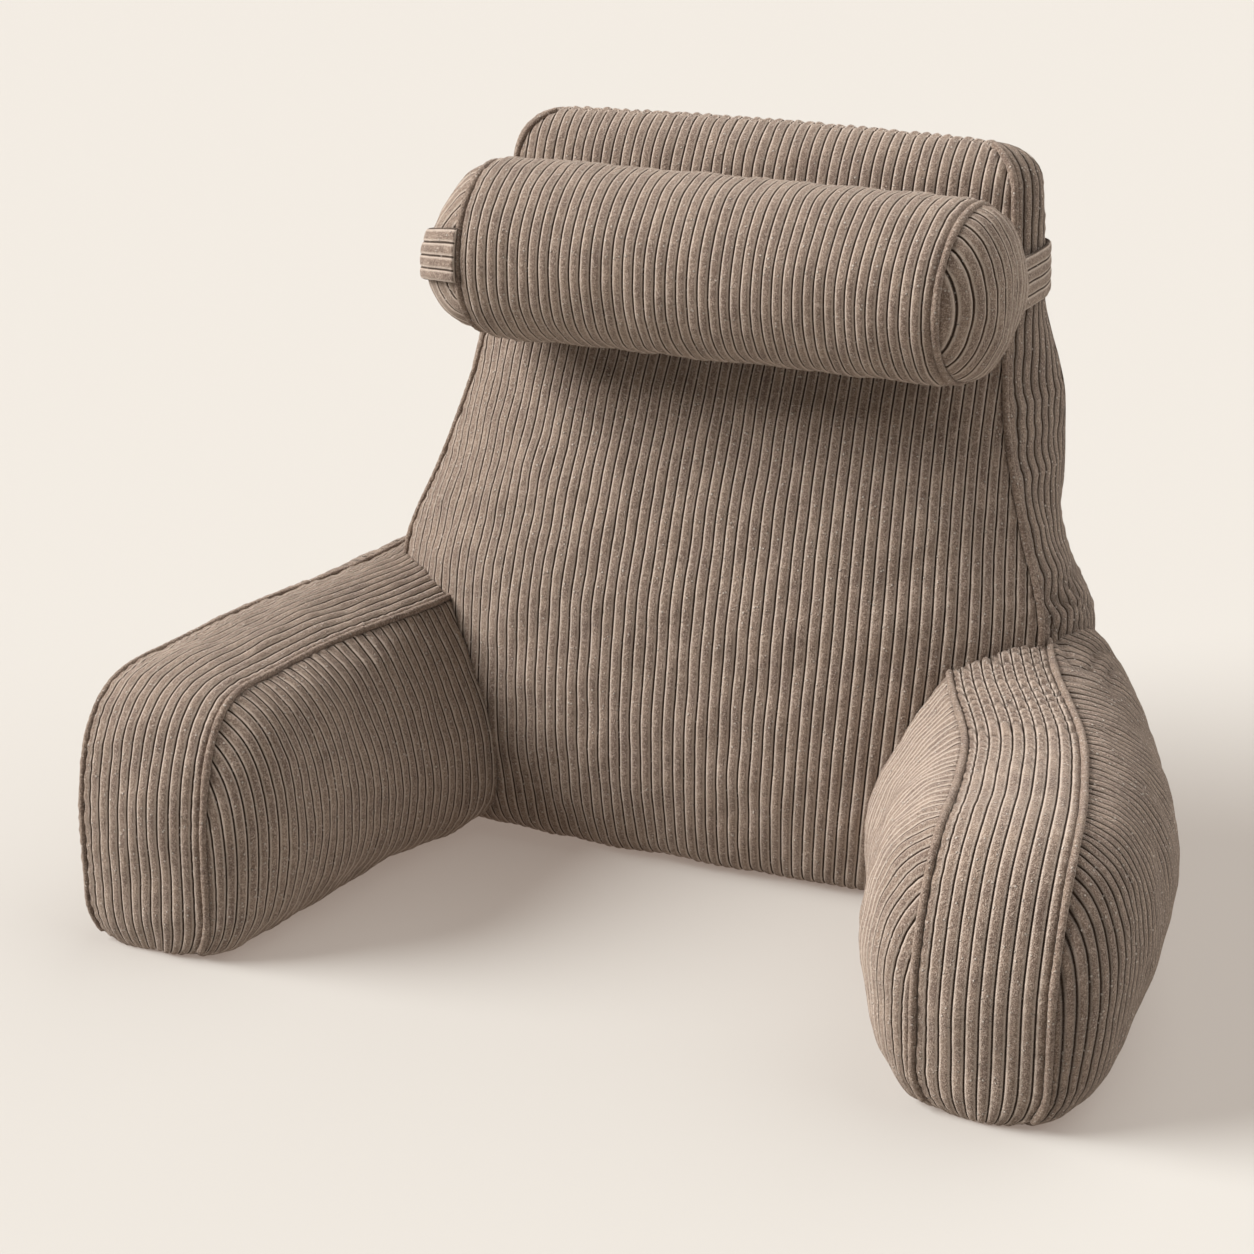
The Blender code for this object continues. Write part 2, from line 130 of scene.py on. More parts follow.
# How a panel's wales are raised: their rise, how square their crowns are, and how much painted shade
# lies between two of them. The side panels and the arms' outer panels are seen aslant, and lie flatter.
CROWN_SQUARENESS = 3.4
RAISED = (0.0029, CROWN_SQUARENESS, 0.25)
RAISED_ARM_INNER = (0.0029, 3.0, 0.25)
RAISED_ARM_OUTER = (0.0024, 2.3, 0.90)
RAISED_SIDE = (0.0021, 2.2, 1.00)
# Samples across a wale from groove to groove, and the rows' distances along it
WALE_SAMPLES = (0.0, 0.06, 0.16, 0.38, 0.62, 0.84, 0.94)
ROW_STEP = 0.0050
ARM_ROW_STEP = 0.0042
# How far the front's and the back's wales spread with the case's width, and their count in half a panel
FAN = 0.25
FACE_WALES = 35
SIDE_WALE = 0.0112
# How deep a seam is drawn in, the gathers beside it, and the dents of stuffed cloth
SEAM_SINK = 0.0020
PUCKER, PUCKER_PITCH, DENTS = 0.0008, 0.013, 0.0007
# Height, shift and reach of the places where the side panels' wales jog sideways over a fold
SIDE_KINKS = (
    (0.386, 0.0030, 0.0065),
    (0.364, 0.0024, 0.0055),
    (0.333, 0.0044, 0.0080),
    (0.292, 0.0020, 0.0060),
    (0.262, 0.0038, 0.0070),
    (0.246, -0.0034, 0.0060),
    (0.231, 0.0046, 0.0060),
)
CORD_RADIUS, CORD_RISE = 0.0029, 0.0011
CORD_PLEAT = 0.0075
# The cords on the outer side of the left arm and the backrest's left side are drawn in tighter
TIGHT_CORD_RADIUS, TIGHT_CORD_RISE = 0.0023, 0.0001
# Where the arms' cords end, above the floor and in front of the backrest, and the front panel's cords
CORD_FOOT, CORD_REAR = 0.006, 0.40
BACK_CORD_LOW, BACK_CORD_HIGH = 0.205, 0.5772
TRIM_GAP = 0.0013


def table(rows, key):
    """The columns of a table at these keys, on smooth curves through its rows."""
    keys, values = np.array([r[0] for r in rows]), np.array([r[1:] for r in rows])
    key = np.clip(key, keys[0], keys[-1])
    i = np.clip(np.searchsorted(keys, key, side="right") - 1, 0, len(keys) - 2)
    before, after = np.maximum(i - 1, 0), np.minimum(i + 2, len(keys) - 1)
    span = keys[i + 1] - keys[i]
    t = ((key - keys[i]) / span)[..., None]
    slope_in = (values[i + 1] - values[before]) * (span / (keys[i + 1] - keys[before]))[..., None]
    slope_out = (values[after] - values[i]) * (span / (keys[after] - keys[i]))[..., None]
    curve = (2 * t**3 - 3 * t**2 + 1) * values[i] + (t**3 - 2 * t**2 + t) * slope_in
    curve += (3 * t**2 - 2 * t**3) * values[i + 1] + (t**3 - t**2) * slope_out
    return np.moveaxis(curve, -1, 0)


def spot(x, y, z):
    return np.stack(np.broadcast_arrays(x, y, z), axis=-1).astype(float)


def unit(vectors):
    return vectors / np.maximum(np.linalg.norm(vectors, axis=-1, keepdims=True), 1e-12)


def smooth(value, low, high):
    t = np.clip((value - low) / (high - low), 0.0, 1.0)
    return t * t * (3 - 2 * t)


def ripple(points, size, seed, waves=10):
    """Soft seeded unevenness of about this size, around zero."""
    rng = np.random.default_rng(seed)
    total = np.zeros(points.shape[:-1])
    for _ in range(waves):
        direction = unit(rng.normal(size=3)) * 2 * math.pi / size * rng.uniform(0.6, 1.4)
        total += np.sin(points @ direction + rng.uniform(0, 2 * math.pi))
    return total / math.sqrt(waves / 2)


def base_tuck(height, reach=BASE_ROUND, depth=BASE_TUCK):
    near = np.clip(1 - height / reach, 0.0, 1.0)
    return depth * (1 - np.sqrt(1 - near**2))


def creased(points, off, folds, seed):
    """Lift of the folds where the cloth is bunched up, and the painted shade in their pits at each point, 0
    to 1.
    """
    lift, painted_shade = np.zeros(points.shape[:-1]), np.zeros(points.shape[:-1])
    for n, (place, reach, pitch, depth, bow, direction) in enumerate(folds):
        away = points - np.array(place)
        fade = np.exp(-((away / np.array(reach)) ** 2).sum(axis=-1))
        turn = away @ unit(np.array(direction, dtype=float)) / pitch + bow * off**2
        turn = turn + 0.35 * ripple(points, 4 * pitch, seed + n)
        crest = np.sqrt(np.abs(np.sin(math.pi * turn)))
        lift += depth * fade * (crest - 0.75)
        # Painted shade, deepest in the fold's pits
        painted_shade = np.maximum(painted_shade, np.minimum(1.3 * fade, 1) * (1 - crest))
    return lift, painted_shade


def lengths(points):
    """Distance travelled along the last but one axis of points."""
    steps = np.linalg.norm(np.diff(points, axis=-2), axis=-1)
    return np.concatenate([np.zeros(steps.shape[:-1] + (1,)), np.cumsum(steps, axis=-1)], axis=-1)


def wale_stops(first, last):
    """Places across the cloth in wales, with the samples of WALE_SAMPLES in each."""
    stops = [n + s for n in range(math.floor(first), math.ceil(last)) for s in WALE_SAMPLES]
    return np.array([first] + [s for s in stops if first < s < last] + [last])


def stations(low, high, step):
    return np.linspace(low, high, max(round((high - low) / step), 1) + 1)


# Shapes of the pieces


def backrest_at(across, deep, height, roll):
    half, front, thick, crown, back_crown, side = table(BACKREST_LEVELS, height)
    tuck, flat = base_tuck(height), np.cos(roll)
    half = half - TOP_CORNER * (1 - flat) - tuck
    middle = front + thick / 2
    thick = thick * flat - 2 * tuck
    half = half + BACK_FLARE * table(FLARE_LEVELS, height)[0] * deep * flat
    x = across * (half + side * flat * 4 * deep * (1 - deep))
    y = middle - thick / 2 + thick * deep
    y = y - crown * flat * (1 - np.abs(across) ** FRONT_CROWN_POWER) * (1 - deep)
    y = y + back_crown * flat * (1 - np.abs(across) ** BACK_CROWN_POWER) * deep
    z = height + TOP_ARCH * np.sin(roll) * (1 - across**2)
    return spot(x, y, z)


def backrest_level(station):
    """Height and roll angle of a station: up the base's rounding to 1, the front to 2, over the top to 3."""
    height = np.where(
        station < 1,
        BASE_ROUND * (1 - np.cos(np.clip(station, 0, 1) * math.pi / 2)),
        BASE_ROUND + (TOP_ROLL_START - BASE_ROUND) * np.clip(station - 1, 0, 1),
    )
    roll = np.clip(station - 2, 0, 1) * math.pi / 2
    return height + TOP_ROLL_RISE * np.sin(roll), roll


def arm_at(across, forward, up, crowned=False, wide=0.0, slim=0.0, belly=0.0):
    """A place of the right arm: across -1 at the inner seam to 1 at the outer, forward and up in side view.

    The outer seam stands out by wide more, the outer panel swells by slim less, and the front
    stands forward by belly at half height and goes back above the base.
    """
    forward, up = np.clip(forward, 0, 1), np.clip(up, 0, 1)
    power = ARM_CORNER_POWER
    y = ARM_REAR_Y - ARM_LENGTH * forward
    rise = ARM_HEIGHT_FRONT + (ARM_HEIGHT_REAR - ARM_HEIGHT_FRONT) * np.clip(y / ARM_REAR_Y, 0, 1)
    rise = rise + ARM_REAR_TWIST * across * (1 - forward) ** 1.5
    rise = rise - ARM_TOP_DIP * np.sin(math.pi * forward) ** 2
    rise = rise + ARM_FRONT_LIFT * np.exp(-(((forward - ARM_FRONT_LIFT_AT) / 0.1) ** 2))
    height = rise * up
    y = y + ARM_FRONT_LEAN * up * forward**4
    tuck = base_tuck(height, ARM_BASE_ROUND, ARM_BASE_TUCK)
    y = y + 0.45 * tuck * forward**6
    foot = ARM_FOOT_BACK * np.clip(1 - up / ARM_BELLY_HEIGHT, 0, 1) ** 1.5
    y = y + belly * forward**6 * (foot - np.exp(-(((up - ARM_BELLY_HEIGHT) / ARM_BELLY_REACH) ** 2)))
    gusset = GUSSET_HALF_REAR + (GUSSET_HALF_FRONT - GUSSET_HALF_REAR) * forward
    middle, inner, outer, softness = table(ARM_ROWS, y)
    reach = np.maximum((1 - up**power) ** (1 / power), 1e-9)
    top = np.maximum((1 - forward**power) ** (1 / power), 1e-9)
    toward_front, toward_top = np.clip(forward / reach, 0, 1), np.clip(up / top, 0, 1)
    soft = np.where(across < 0, softness, ARM_OUTER_SOFTNESS * (1 - forward))
    fullness = np.where(across < 0, ARM_INNER_FULLNESS, ARM_OUTER_FULLNESS) - 2 * soft
    shoulder = (1 - toward_top**fullness) ** (0.5 + 0.4 * soft)
    full = np.sqrt(1 - toward_front**ARM_FRONT_FULLNESS) * shoulder
    under_top = np.where(across < 0, ARM_UNDERCUT_TOP_INNER, ARM_UNDERCUT_TOP_OUTER)
    under = 1 - ARM_UNDERCUT * np.clip(1 - up / under_top, 0, 1) ** 2
    rear = 1 - ARM_REAR_DRAW_IN * np.clip(1 - ARM_LENGTH * forward / ARM_REAR_ROUND, 0, 1) ** 2
    inner = inner + ARM_INNER_WIDER + GUSSET_NARROWED * (1 - forward)
    outer = outer - ARM_OUTER_NARROWER + (GUSSET_NARROWED + ARM_OUTER_FULLER) * (1 - forward) - wide - slim
    half = gusset + np.where(across > 0, wide + outer * full * under, inner * full * under)
    side = half * rear * across
    if crowned:
        side = ((2 * gusset + wide) * (across + 1) / 2 - gusset) * rear
    side = side - tuck * across
    slope = (table(ARM_ROWS, y + 0.002)[0] - table(ARM_ROWS, y - 0.002)[0]) / 0.004
    aside = unit(spot(1.0, -slope, 0.0))
    point = spot(middle, y, height) + aside * side[..., None]
    if crowned:
        point = point + arm_facing(forward, up) * (GUSSET_CROWN * (1 - across**2))[..., None]
    return point


def arm_facing(forward, up):
    """Outward direction of the gusset strip in the arm's side view."""
    power = ARM_CORNER_POWER - 1
    y, z = -(forward**power) / ARM_LENGTH, up**power / ARM_HEIGHT_REAR
    return unit(spot(0.0, y, z))


def bolster_radius(along):
    left, right = BOLSTER_SEAM_LEFT - along, along - BOLSTER_SEAM_RIGHT
    drawn = np.clip(1 + np.maximum(left, right) / BOLSTER_SHOULDER, 0, 1)
    return BOLSTER_RADIUS - (BOLSTER_RADIUS - BOLSTER_SEAM_RADIUS) * drawn**2


def bolster_at(along, angle):
    radius = bolster_radius(along)
    cx, cy, cz = BOLSTER_CENTRE
    skew = BOLSTER_SKEW * np.sin(angle) * smooth(along, 0.0, BOLSTER_SEAM_RIGHT)
    return spot(cx + along + skew, cy + radius * np.sin(angle), cz - radius * np.cos(angle))


def cap_seam(side):
    """Place of an end cap's seam along the bolster, and how far its dome stands out."""
    return (BOLSTER_SEAM_RIGHT, CAP_DOME_RIGHT) if side > 0 else (BOLSTER_SEAM_LEFT, CAP_DOME_LEFT)


def cap_at(side, aside, up):
    """A place of an end cap, aside and up in shares of the seam's radius. The right seam runs askew."""
    seam, dome = cap_seam(side)
    out = dome * np.clip(1 - aside**2 - up**2, 0, 1) ** (CAP_FULLNESS + CAP_FLATTER * aside**2)
    out = out * (1 - (CAP_DROOP_LEFT if side < 0 else 0.0) * up)
    cx, cy, cz = BOLSTER_CENTRE
    seam = seam + (BOLSTER_SKEW * aside if side > 0 else 0.0)
    return spot(cx + seam + side * out, cy + aside * BOLSTER_SEAM_RADIUS, cz + up * BOLSTER_SEAM_RADIUS)


def cap_facing(side, place):
    """Outward direction of an end cap at a place on it."""
    seam, dome = cap_seam(side)
    out = place - np.array([BOLSTER_CENTRE[0] + seam, BOLSTER_CENTRE[1], BOLSTER_CENTRE[2]])
    return unit(out / np.array([dome**2, BOLSTER_SEAM_RADIUS**2, BOLSTER_SEAM_RADIUS**2]))


# Cloth panels


def normals(place, p, q, low=(0.0, 0.0), high=(1.0, 1.0), step=1e-3):
    """Directions square to the surface place(p, q), from small steps that stay inside its range."""
    ahead, behind = np.minimum(p + step, high[0]), np.maximum(p - step, low[0])
    above, below = np.minimum(q + step, high[1]), np.maximum(q - step, low[1])
    return unit(np.cross(place(ahead, q) - place(behind, q), place(p, above) - place(p, below)))


def seam_field(points, seams):
    """Distance of each point from the nearest seam, and how far along the seams that place is."""
    line, along, start = [], [], 0.0
    for seam in seams:
        run = lengths(seam)
        fine = np.arange(0, run[-1], 0.001)
        line.append(np.stack([np.interp(fine, run, seam[:, k]) for k in range(3)], axis=-1))
        along.append(fine + start)
        start += run[-1] + 1.0
    line, along = np.concatenate(line), np.concatenate(along)
    tree = kdtree.KDTree(len(line))
    for n, place in enumerate(line):
        tree.insert(place, n)
    tree.balance()
    found = [tree.find(p) for p in points.reshape(-1, 3)]
    near = np.array([f[2] for f in found]).reshape(points.shape[:-1])
    where = along[[f[1] for f in found]].reshape(points.shape[:-1])
    return near, where


def dressed(points, outward, wales, seams, seed, folds=(), raised=RAISED):
    """The panel with its wales raised, sunk at its seams, and with the small unevenness of stuffed cloth.

    It also returns how much painted shade each point gets, in the pit of a fold or, with shade, between two
    wales.
    """
    rise, squareness, shade = raised
    near, where = seam_field(points, seams)
    across = np.abs(2 * (wales - np.floor(wales)) - 1)
    rib = np.sqrt(np.clip(1 - across**squareness, 0, 1))
    free = smooth(near, 0.0010, 0.0042)
    rise = rise * (1 + 0.10 * ripple(points, 0.020, seed + 1))
    lift = -SEAM_SINK * (1 - free) + (rise * rib - WALE_SINK) * free
    lift += DENTS * ripple(points, 0.055, seed + 2) * smooth(near, 0.004, 0.03)
    gather = np.sin(2 * math.pi * where / PUCKER_PITCH + 1.5 * ripple(points, 0.05, seed + 3))
    lift += PUCKER * gather * np.exp(-near / 0.011) * smooth(near, 0.001, 0.004)
    folded, painted_shade = creased(points, across, folds, seed + 50)
    # Painted shade on the flanks between two wales
    painted_shade = np.maximum(painted_shade, shade * smooth(across, 0.95 - 0.7 * shade, 0.95))
    lift += folded * smooth(near, 0.001, 0.006)
    lift *= smooth(near, 0.0003, 0.0018)
    shaped = points + outward * lift[..., None]
    shaped[..., 2] = np.maximum(shaped[..., 2], 0.0)
    return shaped, painted_shade


def panel(points, wales, along, painted_shade=0.0):
    """A grid mesh with its vertices at points, a UV map in wales and metres along, and its painted shade in
    the folds' pits and between wales.
    """
    rows, cols = points.shape[:2]
    bm = bmesh.new()
    bmesh.ops.create_grid(bm, x_segments=cols - 1, y_segments=rows - 1, size=1.0)
    mesh = bpy.data.meshes.new("panel")
    bm.to_mesh(mesh)
    bm.free()
    flat = np.empty(len(mesh.vertices) * 3)
    mesh.vertices.foreach_get("co", flat)
    flat = flat.reshape(-1, 3)
    i = np.rint((flat[:, 0] + 1) / 2 * (cols - 1)).astype(int)
    j = np.rint((flat[:, 1] + 1) / 2 * (rows - 1)).astype(int)
    mesh.vertices.foreach_set("co", points[j, i].astype(np.float32).ravel())
    corner = np.empty(len(mesh.loops), dtype=np.int32)
    mesh.loops.foreach_get("vertex_index", corner)
    wales, along = np.broadcast_to(wales, (rows, cols)), np.broadcast_to(along, (rows, cols))
    places = np.stack([wales[j, i], along[j, i]], axis=-1)[corner]
    layer = mesh.uv_layers.new(name="cloth")
    layer.data.foreach_set("uv", places.astype(np.float32).ravel())
    depth = mesh.attributes.new("painted_shade", "FLOAT", "POINT")
    depth.data.foreach_set("value", np.broadcast_to(painted_shade, (rows, cols))[j, i].astype(np.float32))
    return mesh


def added(name, data):
    """A new object with this data, in the scene."""
    obj = bpy.data.objects.new(name, data)
    bpy.context.scene.collection.objects.link(obj)
    return obj


def piece(name, meshes, material, node, side=1):
    """Sews the panels into one closed mesh that stands for a node."""
    bm = bmesh.new()
    for mesh in meshes:
        bm.from_mesh(mesh)
        bpy.data.meshes.remove(mesh)
    bmesh.ops.remove_doubles(bm, verts=bm.verts[:], dist=2e-5)
    bmesh.ops.dissolve_degenerate(bm, edges=bm.edges[:], dist=1e-6)
    layer = bm.loops.layers.uv["cloth"]
    rims = [e for e in bm.edges if e.is_boundary]
    if rims:
        filled = bmesh.ops.holes_fill(bm, edges=rims, sides=0)["faces"]
        for face in filled:
            for loop in face.loops:
                loop[layer].uv = (loop.vert.co.x / WALE, loop.vert.co.y)
        bmesh.ops.triangulate(bm, faces=filled)
    bmesh.ops.scale(bm, verts=bm.verts[:], vec=(side, 1, 1))
    bmesh.ops.translate(bm, verts=bm.verts[:], vec=(0, -ORIGIN_BACK, 0))
    bmesh.ops.recalc_face_normals(bm, faces=bm.faces[:])
    mesh = bpy.data.meshes.new(name)
    bm.to_mesh(mesh)
    bm.free()
    mesh.shade_smooth()
    mesh.materials.append(material)
    obj = added(name, mesh)
    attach(obj, "root")
    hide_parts(node)
    return obj


def cord_mesh(route, radius, seed, sides=14, closed=False):
    """A cloth covered cord along a route, with the small slanted pleats of cloth drawn round a cord."""
    run = lengths(route)
    fine = stations(0, run[-1], 0.0018)
    line = np.stack([np.interp(fine, run, route[:, k]) for k in range(3)], axis=-1)
    for _ in range(3):
        inner = (line[:-2] + 2 * line[1:-1] + line[2:]) / 4
        if closed:
            seam = (line[-2] + 2 * line[0] + line[1]) / 4
            line = np.concatenate([[seam], inner, [seam]])
        else:
            line = np.concatenate([line[:1], inner, line[-1:]])
    heading = unit(np.gradient(line, axis=0))
    if closed:
        heading[0] = heading[-1] = unit(line[1] - line[-2])
    level = unit(np.cross(heading, np.array([0.31, 0.17, 0.93])))
    square = np.cross(heading, level)
    angle = np.linspace(0, 2 * math.pi, sides + 1)
    slant = 0.9 * np.sin(angle)[None] + 1.2 * ripple(line, 0.04, seed)[:, None]
    pleat = np.sin(2 * math.pi * fine[:, None] / CORD_PLEAT + slant)
    uneven = 1 + 0.05 * ripple(line, 0.03, seed + 1)[:, None]
    size = radius * uneven * (1 + 0.055 * pleat)
    if not closed:
        ends = np.minimum(fine, run[-1] - fine)[:, None]
        size = size * np.sqrt(np.clip(1 - (1 - np.clip(ends / radius, 0, 1)) ** 2, 0, 1))
    turn = np.cos(angle)[None, :, None] * level[:, None] + np.sin(angle)[None, :, None] * square[:, None]
    points = line[:, None] + size[..., None] * turn
    points[:, -1] = points[:, 0]
    if closed:
        points[-1] = points[0]
    return panel(points, 0.5 + 0.35 * np.cos(angle)[None], fine[:, None])


# Materials


def linear(code):
    """A hex sRGB colour as linear red, green, blue and alpha."""
    parts = [int(code[k : k + 2], 16) / 255 for k in (1, 3, 5)]
    return tuple(c / 12.92 if c <= 0.04045 else ((c + 0.055) / 1.055) ** 2.4 for c in parts) + (1.0,)


def node(tree, kind, links=None, stops=(), **settings):
    """Adds a shader node with its settings, its inputs as values or links, and the stops of a ramp."""
    made = tree.nodes.new("ShaderNode" + kind)
    for name, value in settings.items():
        setattr(made, name, value)
    for key, value in (links or {}).items():
        if isinstance(value, bpy.types.NodeSocket):
            tree.links.new(value, made.inputs[key])
        else:
            made.inputs[key].default_value = value
    for n, (place, value) in enumerate(stops):
        mark = made.color_ramp.elements[n] if n < 2 else made.color_ramp.elements.new(place)
        mark.position, mark.color = place, (value, value, value, 1.0)
    return made


# Tints of the cloth: crown and flank for the nap; a painted sheen for the pile's edges, also used for the
# grain's light flecks; a painted shade for the grooves, the folds' pits and the wales' flanks, also used for
# the grain's dark flecks; and the stray tufts
CROWN, FLANK, SHEEN_AND_GRAIN_LIGHT, SHADE_AND_GRAIN_DARK, FLECK = "#938071", "#78665b", "#d2c2b4", "#3f3026", "#ddd1c5"
# How much of a tint shows: of the painted sheen on the pile's edges and of the painted shade in the groove,
# from a wale's crown at 0 to its groove at 1, and of the painted shade in a fold's pit and between wales, by
# its depth
PAINTED_SHEEN_STOPS = ((0.42, 0.0), (0.68, 0.55), (0.80, 0.85), (0.86, 0.0))
PAINTED_GROOVE_SHADE_STOPS = ((0.78, 0.0), (0.93, 0.95))
PAINTED_HOLLOW_SHADE_STOPS = ((0.10, 0.0), (0.75, 0.75))


def corduroy(name, wales=True):
    """Wide-wale cotton corduroy, its pile cut and brushed: soft crowns, edges with painted sheen, thin
    grooves with painted shade.
    """
    material = bpy.data.materials.new(name)
    material.use_nodes = True
    tree = material.node_tree
    shader = tree.nodes["Principled BSDF"]
    place = node(tree, "TexCoord").outputs["Object"]
    parts = node(tree, "SeparateXYZ", {"Vector": node(tree, "UVMap", uv_map="cloth").outputs["UV"]}).outputs
    # 0 at a wale's crown and 1 in the groove between two wales
    within = node(tree, "Math", {0: parts["X"]}, operation="FRACT").outputs[0]
    doubled = node(tree, "Math", {0: within, 1: 2.0, 2: -1.0}, operation="MULTIPLY_ADD").outputs[0]
    off = node(tree, "Math", {0: doubled}, operation="ABSOLUTE").outputs[0]
    # Nap: the pile lies one way or the other along a wale, in strokes of about 20 mm
    which = node(tree, "Math", {0: parts["X"]}, operation="FLOOR").outputs[0]
    wale_start = node(tree, "Math", {0: which, 1: 3.7}, operation="MULTIPLY").outputs[0]
    stroke = node(tree, "Math", {0: parts["Y"], 1: 50.0}, operation="MULTIPLY").outputs[0]
    strip = node(tree, "CombineXYZ", {"X": wale_start, "Y": stroke}).outputs[0]
    strokes = node(tree, "TexNoise", {"Vector": strip, "Scale": 1.0, "Detail": 2.0}).outputs["Fac"]
    # Hand marks over several wales, about 25 mm
    mark = {"Vector": place, "Scale": 40.0, "Detail": 3.0, "Roughness": 0.6}
    marks = node(tree, "TexNoise", mark).outputs["Fac"]
    nap = node(tree, "Math", {0: strokes, 1: marks}, operation="ADD").outputs[0]
    nap = node(tree, "MapRange", {"Value": nap, "From Min": 0.72, "From Max": 1.28}).outputs[0]
    # Tufts of pile about 2 mm across, squashed into short slanted dashes
    tuft = {"Vector": place, "Scale": 480.0, "Detail": 2.0, "Roughness": 0.8, "Distortion": 0.6}
    tufts = node(tree, "TexNoise", tuft).outputs["Fac"]
    # Pile fibres: far finer in truth, drawn about 1 mm across so that they show
    fibre = {"Vector": place, "Scale": 1100.0, "Detail": 1.0, "Distortion": 0.4}
    fibres = node(tree, "TexNoise", fibre).outputs["Fac"]
    # Stray tufts standing up, about one in 5 mm and 0.8 mm across
    points = node(tree, "TexVoronoi", {"Vector": place, "Scale": 230.0}).outputs
    stray = node(tree, "ValToRGB", {"Fac": points["Distance"]}, ((0.12, 1.0), (0.26, 0.0))).outputs[0]
    some = node(tree, "ValToRGB", {"Fac": points["Color"]}, ((0.55, 0.0), (0.62, 1.0))).outputs[0]
    stray = node(tree, "Math", {0: stray, 1: some}, operation="MULTIPLY").outputs[0]

    grain = node(tree, "Math", {0: tufts, 1: fibres}, operation="ADD").outputs[0]
    half = node(tree, "Math", {0: grain, 1: 0.5}, operation="MULTIPLY").outputs[0]
    light = node(tree, "ValToRGB", {"Fac": half}, ((0.50, 0.0), (0.62, 0.45))).outputs[0]
    dark = node(tree, "ValToRGB", {"Fac": half}, ((0.38, 0.42), (0.50, 0.0))).outputs[0]
    layers = [(light, SHEEN_AND_GRAIN_LIGHT), (dark, SHADE_AND_GRAIN_DARK)]
    # Painted sheen on the pile's edges, painted shade in the grooves, and painted shade in the folds' pits
    # and between wales
    if wales:
        painted_shade = node(tree, "Attribute", attribute_name="painted_shade").outputs["Fac"]
        ramps = ((off, PAINTED_SHEEN_STOPS, SHEEN_AND_GRAIN_LIGHT), (off, PAINTED_GROOVE_SHADE_STOPS, SHADE_AND_GRAIN_DARK), (painted_shade, PAINTED_HOLLOW_SHADE_STOPS, SHADE_AND_GRAIN_DARK))
        for source, stops, tint in ramps:
            layers.append((node(tree, "ValToRGB", {"Fac": source}, stops).outputs[0], tint))
    layers.append((node(tree, "Math", {0: stray, 1: 0.7}, operation="MULTIPLY").outputs[0], FLECK))
    napped = {0: nap, 6: linear(FLANK), 7: linear(CROWN)}
    colour = node(tree, "Mix", napped, data_type="RGBA").outputs[2]
    for share, tint in layers:
        colour = node(tree, "Mix", {0: share, 6: colour, 7: linear(tint)}, data_type="RGBA").outputs[2]
    tree.links.new(colour, shader.inputs["Base Color"])
    shader.inputs["Roughness"].default_value = 0.92
    shader.inputs["Specular IOR Level"].default_value = 0.12
    shader.inputs["Sheen Weight"].default_value = 0.30
    shader.inputs["Sheen Roughness"].default_value = 0.45
    shader.inputs["Sheen Tint"].default_value = linear("#e9dfd4")
    height = node(tree, "Math", {0: stray, 1: 1.2, 2: grain}, operation="MULTIPLY_ADD").outputs[0]
    bump = node(tree, "Bump", {"Height": height, "Strength": 1.0, "Distance": 0.0014})
    tree.links.new(bump.outputs["Normal"], shader.inputs["Normal"])
    return material


cloth = corduroy("Wide-wale corduroy, brushed cotton pile")
# Cut across the wales and stretched round its cord, it shows the pile alone
cord_cloth = corduroy("Corduroy drawn round a filler cord", wales=False)


# Backrest

# Rows up the front, twice as close where the cloth is bunched up beside the arms
front_rows = stations(0, 1, ROW_STEP / (TOP_ROLL_START - BASE_ROUND))
between = (front_rows[:-1] + front_rows[1:]) / 2
near_arms = (between > 0.33) & (between < 0.55)
front_rows = np.sort(np.concatenate([front_rows, between[near_arms]]))
base_rows, top_rows = stations(0, 1, 0.2), stations(0, 1, 0.12)
levels = np.concatenate([base_rows[:-1], 1 + front_rows[:-1], 2 + top_rows[:-1], [2.94, 2.965, 2.985, 3.0]])
level_height, level_roll = backrest_level(levels)


def face_rows(deep):
    """Shares of the half width, and the arc length from the middle out to each at each level."""
    share = np.linspace(0, 1, 400)
    points = backrest_at(share[None], deep, level_height[:, None], level_roll[:, None])
    return share, lengths(points)


def backrest_face(deep):
    """The front or the back panel, with upright wales that its side seams cut off."""
    share, run = face_rows(deep)
    top = run[np.searchsorted(level_height, 0.5), -1]
    stretch = 1 + FAN * np.maximum(run[:, -1] / top - 1, 0)
    stops = wale_stops(-FACE_WALES, FACE_WALES)
    across = np.empty((len(levels), len(stops)))
    for j in range(len(levels)):
        reach = np.abs(stops) * WALE * stretch[j]
        across[j] = np.sign(stops) * np.interp(reach, run[j], share)
    across = snapped(across)

    def place(p, q):
        height, roll = backrest_level(q)
        return backrest_at(p, deep, height, roll)

    q = np.broadcast_to(levels[:, None], across.shape)
    points = place(across, q)
    outward = normals(place, across, q, low=(-1, 0), high=(1, 3))
    outward *= np.sign((outward * (1 if deep else -1))[..., 1:2].mean())
    return points, outward, np.broadcast_to(stops, across.shape)


def snapped(share, near=5e-4):
    """Puts what is all but at the seam on it, so that the seam's vertices merge cleanly."""
    return np.where(np.abs(share) > 1 - near, np.sign(share), share)


